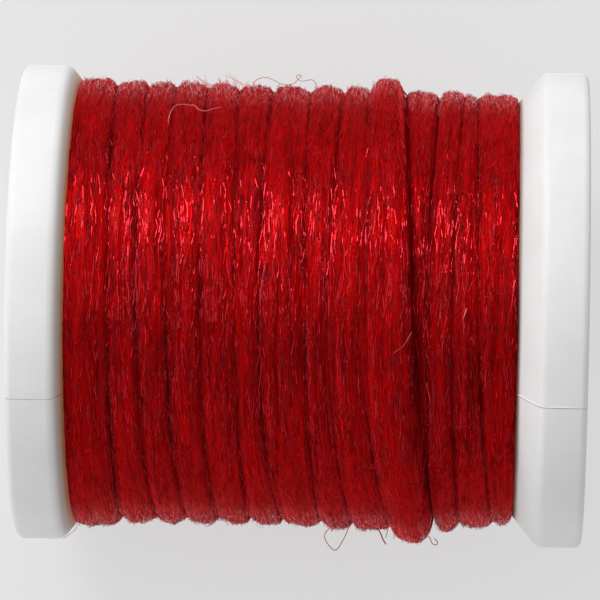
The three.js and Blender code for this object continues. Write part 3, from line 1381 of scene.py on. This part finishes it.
@dataclass
class LyingFilaments:
    """Crimped filaments that lie along the turns and make the winding's surface.

    Args:
        form: The wound form.
        name: The piece's name.
        seed: Where the random numbers start.
        count: How many filaments.
        steps: Points along each.
        shortest: Length of the shortest.
        longest: Length of the longest.
        thickness: Mean diameter.
        crimp: How far the crimp swings a filament in and out.
        sway: How far it swings it from side to side.
        tilt: How far a filament's flat side is turned from facing out, in radians.
        lean: How much that differs between filaments.
        dip: How far its two ends sink in.
        tone: Mean shade, from 0 for deep to 1 for bright.
        tone_spread: How much that differs between filaments.
        groove_painted_shade: How much darker a filament's tone is made at the side of its turn:
            painted shade in the grooves between turns.
        first: Turns laid before the first that may carry a filament.
        margin: How much of the last turn stays free.
        waves: Shortest and longest of the two waves that sway it and the one that crimps it.
    """

    form: WoundForm
    name: str
    seed: int
    count: int = 3400
    steps: int = 10
    shortest: float = 3.5
    longest: float = 9.0
    thickness: float = 0.036
    crimp: float = 0.035
    sway: float = 0.06
    tilt: float = 0.22
    lean: float = 0.19
    dip: float = 0.06
    tone: float = 0.57
    tone_spread: float = 0.16
    groove_painted_shade: float = 0.75
    first: float = 0.3
    margin: float = 0.001
    waves: tuple[tuple[float, float], ...] = ((1.0, 2.2), (2.2, 5.0), (1.8, 3.4))

    WIDEST_TURN = 2.4
    TRIES = 4

    def _starts(self, random: np.random.Generator) -> tuple[np.ndarray, np.ndarray]:
        """Even random places on the winding, as turns laid and place across.

        Args:
            random: Where the random numbers come from.

        Returns:
            Turns laid and place across, for each filament.
        """
        tries = self.count * self.TRIES
        laid = random.uniform(0.45, self.form.turns_laid - 0.05, tries)
        wide_enough = random.uniform(0, self.WIDEST_TURN, tries) < self.form.width(laid)
        kept = laid[wide_enough][: self.count]
        return kept, random.uniform(0.0, 1.0, len(kept))

    def _over(self, turns: np.ndarray, place: np.ndarray) -> np.ndarray:
        """How many turns to the side each point has swayed, where there is a turn to sway to.

        Args:
            turns: Turns laid.
            place: Place across the turn, which may lie outside it.

        Returns:
            The number of turns.
        """
        over = np.floor(place)
        over[(turns + over < self.first) | (turns + over > self._last)] = 0.0
        return over

    @property
    def _last(self) -> float:
        """Turns laid where the last filaments end."""
        return self.form.turns_laid - self.margin

    def batch(self) -> TubeBatch:
        """Lays the filaments.

        Returns:
            Their tubes.
        """
        random = np.random.default_rng(self.seed)
        laid, across = self._starts(random)
        count = len(laid)
        length = random.uniform(self.shortest, self.longest, count)[:, None]
        along = np.linspace(-0.5, 0.5, self.steps)[None]
        run = along * length
        turns = np.clip(laid[:, None] + run / MEAN_ROUND, self.first, self._last)
        waves = [self._wave(random, run, low, high) for low, high in self.waves]
        side = self.sway * (waves[0] + 1.2 * waves[1]) + random.normal(0, 0.1, (count, 1)) * along
        width = np.maximum(self.form.width(turns), 0.25)
        place = np.clip(across[:, None] + side / width, -0.3, 1.3)
        over = self._over(turns, place)
        lift = random.uniform(-0.015, 0.03, (count, 1)) + self.crimp * waves[2]
        lift = lift - self.dip * np.abs(2 * along) ** 8
        thickness = self.thickness * random.uniform(0.75, 1.25, count)
        tone = np.clip(random.normal(self.tone, self.tone_spread, count), 0, 1)
        return TubeBatch(
            self.form.point(turns + over, place - over, lift),
            thickness,
            # The tone darkens towards the sides of a turn: painted shade in the grooves between
            # turns.
            tone * (1 - self.groove_painted_shade * np.abs(2 * across - 1) ** 3),
            roll=random.normal(np.pi / 3 + self.tilt, self.lean, count),
            twist=random.normal(0, 0.15, count),
        )

    @staticmethod
    def _wave(
        random: np.random.Generator, run: np.ndarray, low: float, high: float
    ) -> np.ndarray:
        """A wave along each filament.

        Args:
            random: Where the random numbers come from.
            run: How far along each filament its points are.
            low: Shortest wave.
            high: Longest wave.

        Returns:
            The wave, from -1 to 1.
        """
        count = len(run)
        period = random.uniform(low, high, (count, 1))
        start = random.uniform(0, 2 * np.pi, (count, 1))
        return np.sin(2 * np.pi * run / period + start)

    def build(self, finish: bpy.types.Material) -> bpy.types.Object:
        """Makes the piece.

        Args:
            finish: The fibres' material.

        Returns:
            The piece, riding on the part's body.
        """
        return fibre_piece(self.name, [self.batch()], finish, Shading.FLAT)


def fibre_piece(
    name: str,
    batches: list[TubeBatch],
    finish: bpy.types.Material,
    shading: Shading = Shading.ROUND,
) -> bpy.types.Object:
    """Makes a nylon piece of joined tubes.

    Args:
        name: The piece's name.
        batches: Its tubes.
        finish: Its material.
        shading: How the tubes' sides are shaded.

    Returns:
        The piece, riding on the part's body.
    """
    mesh = joined_mesh(name, batches, shading)
    mesh.materials.append(finish)
    piece = put_in_scene(name, mesh)
    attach(piece, "root")
    return piece


@dataclass
class YarnFuzz:
    """Fine loops that stand off the winding all the way round.

    Args:
        form: The wound form.
        name: The piece's name.
        seed: Where the random numbers start.
        count: How many loops.
        tallest: How far the tallest stand off.
        longest: How far apart the longest one's ends are.
        reach: How far from the far and near sides they spread, in turns.
        crowding: How much they crowd at those sides, from 1 for not at all.
        steps: Points along each.
        thickness: Mean diameter.
        lowest: How far the lowest stand off.
        shortest: How far apart the shortest one's ends are.
        rooted: How far its two ends sink in.
    """

    form: WoundForm
    name: str
    seed: int
    count: int
    tallest: float
    longest: float
    reach: float
    crowding: float
    steps: int
    thickness: float
    lowest: float = 0.06
    shortest: float = 0.1
    rooted: float = 0.03

    def batch(self) -> TubeBatch:
        """Lays the loops.

        Returns:
            Their tubes.
        """
        random = np.random.default_rng(self.seed)
        side = random.integers(2, 2 * self.form.turns_laid, self.count) / 2
        away = random.uniform(-1, 1, self.count)
        laid = side + self.reach * np.sign(away) * np.abs(away) ** self.crowding
        laid = np.clip(laid, 0.6, self.form.turns_laid - 0.1)[:, None]
        each = (self.count, 1)
        across = random.uniform(0.08, 0.92, each)
        span = random.uniform(self.shortest, self.longest, each)
        height = mix(self.lowest, self.tallest, random.uniform(0, 1, each) ** 1.5)
        height = height * np.clip(np.abs(laid - side[:, None]) / 0.03, 0.4, 1.0)
        along = np.linspace(0, 1, self.steps)[None]
        swing = random.uniform(0.02, 0.3, each) * span
        bends = random.uniform(1, 3, each)
        curl = swing * np.sin(np.pi * along * bends + random.uniform(0, 6.28, each))
        back = random.normal(0, 0.18, each) * np.sin(2 * np.pi * along)
        turns = laid + (span * (along - 0.5) + back) / MEAN_ROUND
        width = np.maximum(self.form.width(turns), 0.5)
        lift = height * np.sin(np.pi * along) ** 0.8 - self.rooted
        return TubeBatch(
            self.form.point(turns, across + curl / width, lift),
            self.thickness * random.uniform(0.8, 1.3, self.count),
            random.uniform(0, 1, self.count),
            roll=random.uniform(0, 2 * np.pi, self.count),
            taper=0.7,
        )

    def build(self, finish: bpy.types.Material) -> bpy.types.Object:
        """Makes the piece.

        Args:
            finish: The fibres' material.

        Returns:
            The piece, riding on the part's body.
        """
        return fibre_piece(self.name, [self.batch()], finish)


@dataclass(frozen=True)
class Fibre:
    """One loose fibre.

    Args:
        points: Points that it passes, in millimetres about the axis.
        thickness: Its diameter.
        tone: Its shade, from 0 for deep to 1 for pale.
    """

    points: tuple[Place, ...]
    thickness: float
    tone: float

    @classmethod
    def lying(cls, places: tuple[Place, ...], thickness: float, tone: float) -> Fibre:
        """A fibre on the winding.

        Args:
            places: Points that it passes, each by its degrees round from the far side, its place
                along X and its radius.
            thickness: Its diameter.
            tone: Its shade.

        Returns:
            The fibre.
        """
        turn, along, radius = np.array(places).T
        points = about_axis(along, radius, np.radians(turn))
        return cls(tuple(tuple(point) for point in points), thickness, tone)

    def batch(self) -> TubeBatch:
        """The fibre's tube.

        Returns:
            The tube.
        """
        path = smooth_path(np.array(self.points), 10 * len(self.points))
        thickness = np.array((self.thickness,))
        return TubeBatch(path[None], thickness, np.array((self.tone,)), sides=5, taper=0.6)


LOOSE_FIBRES = (
    Fibre(
        (
            (-12.9, 11.9, 2.2), (-13.13, 12.4, 1.4), (-13.4, 13.0, 0.7), (-13.5, 13.1, 0.5),
            (-13.2, 12.9, 0.6), (-13.0, 12.2, 1.0),
        ),
        thickness=0.05,
        tone=0.5,
    ),
    Fibre(
        (
            (-3.15, 12.4, 0.4), (-2.87, 12.83, 0.2), (-2.31, 12.98, 0.0), (-1.73, 12.75, 0.1),
            (-1.37, 12.59, 0.2), (-0.8, 12.63, 0.1), (-0.46, 12.96, 0.0), (-0.31, 13.08, 0.0),
            (-0.51, 13.15, 0.05), (-0.6, 13.0, 0.1), (-0.3, 12.8, 0.1), (0.3, 12.88, 0.0),
            (0.6, 12.5, 0.0),
        ),
        thickness=0.04,
        tone=0.55,
    ),
    Fibre(
        (
            (-12.2, -12.1, 0.3), (-12.4, -12.6, 0.2), (-12.6, -12.5, 0.2), (-12.89, -12.35, 0.3),
            (-13.22, -12.78, 0.2), (-13.67, -13.08, 0.1), (-14.33, -13.35, 0.0),
        ),
        thickness=0.06,
        tone=0.4,
    ),
    Fibre(
        (
            (-12.3, -12.2, 0.4), (-12.54, -12.43, 0.3), (-12.71, -12.77, 0.2),
            (-12.82, -13.0, 0.1), (-13.49, -13.53, 0.0),
        ),
        thickness=0.03,
        tone=0.3,
    ),
    Fibre(
        (
            (2.05, -12.3, 0.0), (1.45, -12.96, 0.0), (1.6, -13.5, 0.0), (2.07, -13.88, 0.0),
            (2.52, -13.23, 0.0), (2.9, -12.3, 0.0),
        ),
        thickness=0.05,
        tone=0.4,
    ),
    Fibre(
        (
            (4.1, -12.4, 0.2), (4.41, -12.64, 0.1), (4.58, -12.81, 0.0), (4.75, -13.2, 0.0),
            (4.94, -13.51, 0.0),
        ),
        thickness=0.08,
        tone=0.5,
    ),
    Fibre(
        ((5.06, -12.51, 0.2), (5.01, -12.74, 0.1), (4.91, -13.14, 0.0)),
        thickness=0.04,
        tone=0.5,
    ),
    Fibre(
        (
            (7.2, -12.9, 0.4), (7.44, -13.1, 0.2), (7.55, -13.38, 0.0), (7.78, -13.49, 0.0),
            (7.87, -13.32, 0.1), (7.67, -13.1, 0.2),
        ),
        thickness=0.05,
        tone=0.6,
    ),
    Fibre.lying(
        (
            (37, -7.5, 12.4), (34, -7.41, 12.75), (31, -7.17, 12.85), (30, -6.79, 12.85),
            (30, -6.4, 12.8), (30, -6.12, 12.8), (32, -5.76, 12.75), (32, -5.42, 12.7),
            (31, -5.1, 12.7), (28, -4.51, 12.5),
        ),
        thickness=0.05,
        tone=1.0,
    ),
    Fibre.lying(
        ((96, 6.3, 13.0), (97, 6.16, 13.2), (99, 5.89, 13.3), (101, 5.35, 13.2)),
        thickness=0.04,
        tone=0.5,
    ),
    Fibre.lying(
        ((93, 9.1, 12.3), (92, 9.15, 12.5), (90, 9.3, 12.4)),
        thickness=0.06,
        tone=1.0,
    ),
    Fibre.lying(
        ((106, 9.1, 12.4), (107, 8.93, 12.55), (110, 8.39, 12.6), (118, 7.97, 12.4)),
        thickness=0.026,
        tone=0.0,
    ),
    Fibre.lying(
        ((79, -1.7, 12.4), (80, -1.78, 12.55), (84, -1.93, 12.6), (87, -2.02, 12.4)),
        thickness=0.035,
        tone=0.5,
    ),
    Fibre.lying(
        (
            (140, -12.7, 12.55), (142, -12.93, 12.75), (146, -13.17, 12.95),
            (152, -13.16, 12.95), (157, -12.94, 12.75), (159, -12.7, 12.5),
        ),
        thickness=0.045,
        tone=0.3,
    ),
    Fibre.lying(
        (
            (124, -12.75, 12.6), (126, -12.95, 12.8), (128, -13.02, 12.85), (130, -12.93, 12.8),
            (132, -12.7, 12.6),
        ),
        thickness=0.04,
        tone=0.3,
    ),
)


@dataclass(frozen=True)
class Tuft:
    """The soft tuft of fibres that stands out behind the top.

    Args:
        roots: First and last root, about the axis.
        tips: Where the longest fibres end, from the first root to the last.
        count: How many fibres.
        seed: Where the random numbers start.
        steps: Points along each.
    """

    roots: tuple[Place, Place] = ((-5.4, 12.0, -1.0), (-3.0, 12.0, -1.0))
    tips: tuple[Place, ...] = (
        (-6.9, 12.9, -2.0),
        (-6.5, 13.2, -2.0),
        (-5.7, 13.4, -1.8),
        (-4.8, 13.45, -1.8),
        (-4.1, 13.25, -1.5),
        (-3.5, 12.8, -1.2),
    )
    count: int = 44
    seed: int = 71
    steps: int = 9

    def batch(self) -> TubeBatch:
        """Draws the fibres.

        Returns:
            Their tubes.
        """
        random = np.random.default_rng(self.seed)
        first, last = np.array(self.roots)
        tips = np.array(self.tips)
        share = random.uniform(0, 1, self.count)
        place = share * (len(tips) - 1)
        tip = np.stack([np.interp(place, np.arange(len(tips)), side) for side in tips.T], axis=1)
        rooted = np.clip(share + random.normal(0, 0.2, self.count), 0, 1)[:, None]
        root = mix(first, last, rooted)
        tip = mix(root, tip, random.uniform(0.35, 1.0, (self.count, 1)))
        tip = tip + random.normal(0, 0.16, (self.count, 3))
        along = np.linspace(0, 1, self.steps)[None, :, None]
        bend = random.normal(0, 0.25, (self.count, 1, 3)) * np.sin(np.pi * along)
        paths = mix(root[:, None], tip[:, None], along) + bend
        thickness = random.uniform(0.05, 0.1, self.count)
        return TubeBatch(paths, thickness, random.uniform(0.0, 1, self.count), taper=0.2)


@dataclass(frozen=True)
class Lamp:
    """A soft square lamp.

    Args:
        name: Its name.
        way: Which way it lies from the spool.
        distance: How far away.
        size: Its width.
        strength: How bright it makes white paper that faces it.
    """

    name: str
    way: Place
    distance: float
    size: float
    strength: float

    def hang(self) -> None:
        """Adds the lamp so that it faces the spool."""
        data = bpy.data.lights.new(self.name, "AREA")
        data.size = self.size * MILLIMETRE
        data.energy = self.strength * math.pi**2 * (self.distance * MILLIMETRE) ** 2
        light = bpy.data.objects.new(self.name, data)
        way = Vector(self.way).normalized()
        light.location = to_part(np.array(way) * self.distance)
        light.rotation_euler = way.to_track_quat("Z", "Y").to_euler()
        bpy.context.scene.collection.objects.link(light)


@dataclass(frozen=True)
class Studio:
    """Pale floor, soft light and the camera.

    Args:
        floor_size: Width of the floor.
        floor_colour: Its colour.
        floor_shade: The colour of its slightly darker clouds.
        floor_glow: How much light it gives by itself, as a light table does.
        room_light: Strength of the even light from all round.
        lamps: The lamps.
        camera_place: Where the camera is, about the spool's axis.
        camera_aim: What it looks at.
        camera_roll: How far it is turned about its line of sight, in degrees.
        lens: Its focal length.
        sensor: Width of its sensor.
    """

    floor_size: float = 1600.0
    floor_colour: Colour = (0.24, 0.24, 0.24, 1.0)
    floor_shade: Colour = (0.22, 0.22, 0.22, 1.0)
    floor_glow: float = 0.57
    room_light: float = 0.37
    lamps: tuple[Lamp, ...] = (
        Lamp("key", (-0.4, 0.66, 0.635), 280.0, 95.0, 0.43),
        Lamp("above", (-0.25, 0.18, 0.95), 500.0, 300.0, 0.2),
        Lamp("left", (-0.88, -0.45, 0.2), 700.0, 600.0, 0.28),
        Lamp("back", (0.05, 0.98, 0.17), 600.0, 450.0, 0.15),
        Lamp("fill", (0.0, -0.985, 0.17), 900.0, 900.0, 0.08),
    )
    camera_place: Place = (8.79, -0.487, 309.13)
    camera_aim: Place = (-0.196, 0.33, 0.0)
    camera_roll: float = 0.957
    lens: float = 325.6
    sensor: float = 36.0

    def floor(self) -> None:
        """Makes the floor that the spool rests on."""
        shape = bmesh.new()
        half = self.floor_size / 2 * MILLIMETRE
        bmesh.ops.create_grid(shape, x_segments=1, y_segments=1, size=half)
        mesh = bpy.data.meshes.new("floor")
        shape.to_mesh(mesh)
        shape.free()
        finish = Finish("floor_paper")
        soft = finish.noise(finish.object_place(), 60.0, 2.0)
        finish.set(
            Base_Color=finish.blend_colours(soft, self.floor_colour, self.floor_shade),
            Roughness=0.9,
            Specular_IOR_Level=0.1,
            Emission_Color=(1.0, 1.0, 1.0, 1.0),
            Emission_Strength=self.floor_glow,
        )
        mesh.materials.append(finish.material)
        put_in_scene("floor", mesh)

    def camera(self) -> None:
        """Sets up the camera at the photograph's viewing angle."""
        data = bpy.data.cameras.new("camera")
        data.lens = self.lens
        data.sensor_width = self.sensor
        data.clip_start = 0.01
        data.clip_end = 10.0
        ahead = (Vector(self.camera_aim) - Vector(self.camera_place)).normalized()
        level = ahead.cross(Vector((0, 1, 0))).normalized()
        upright = level.cross(ahead)
        roll = math.radians(self.camera_roll)
        right = math.cos(roll) * level + math.sin(roll) * upright
        up = math.cos(roll) * upright - math.sin(roll) * level
        camera = bpy.data.objects.new("camera", data)
        turned = Matrix((right, up, -ahead)).transposed().to_4x4()
        camera.matrix_world = Matrix.Translation(to_part(np.array(self.camera_place))) @ turned
        bpy.context.scene.collection.objects.link(camera)
        bpy.context.scene.camera = camera

    def light(self) -> None:
        """Lights the scene softly from all round, and from the lamps."""
        world = bpy.data.worlds.new("soft_room")
        world.use_nodes = True
        background = world.node_tree.nodes["Background"]
        background.inputs["Color"].default_value = (1.0, 1.0, 1.0, 1.0)
        background.inputs["Strength"].default_value = self.room_light
        bpy.context.scene.world = world
        for lamp in self.lamps:
            lamp.hang()

    def build(self) -> None:
        """Makes the floor, the camera and the lights."""
        self.camera()
        self.floor()
        self.light()
        bpy.context.scene.view_settings.view_transform = "Standard"


def report(piece: bpy.types.Object) -> None:
    """Logs a piece and how many triangles it has."""
    triangles = sum(len(face.vertices) - 2 for face in piece.data.polygons)
    LOG.info("%s: %d triangles", piece.name, triangles)


def main() -> None:
    """Builds every piece in order and reports it."""
    logging.basicConfig(level=logging.INFO, format="%(message)s")
    Studio().build()
    form = WoundForm()
    report(SpoolMoulding().build())
    report(YarnWinding(form).build())
    lying = LYING_NYLON.on_fibres()
    for number in range(1, 4):
        report(LyingFilaments(form, f"yarn_filaments_{number}", 10 + number).build(lying))
    fuzzy = FUZZY_NYLON.on_fibres()
    low = YarnFuzz(
        form,
        "yarn_fuzz_low",
        seed=61,
        count=6100,
        tallest=0.42,
        longest=0.36,
        reach=0.25,
        crowding=3.0,
        steps=6,
        thickness=0.032,
    )
    high = YarnFuzz(
        form,
        "yarn_fuzz_high",
        seed=62,
        count=1500,
        tallest=0.5,
        longest=1.1,
        reach=0.25,
        crowding=1.6,
        steps=9,
        thickness=0.022,
    )
    report(low.build(fuzzy))
    report(high.build(fuzzy))
    loose = [fibre.batch() for fibre in LOOSE_FIBRES]
    report(fibre_piece("loose_fibres", loose, LOOSE_NYLON.on_fibres()))
    report(fibre_piece("loose_tuft", [Tuft().batch()], MISTY_NYLON.on_fibres()))


if __name__ == "__main__":
    main()
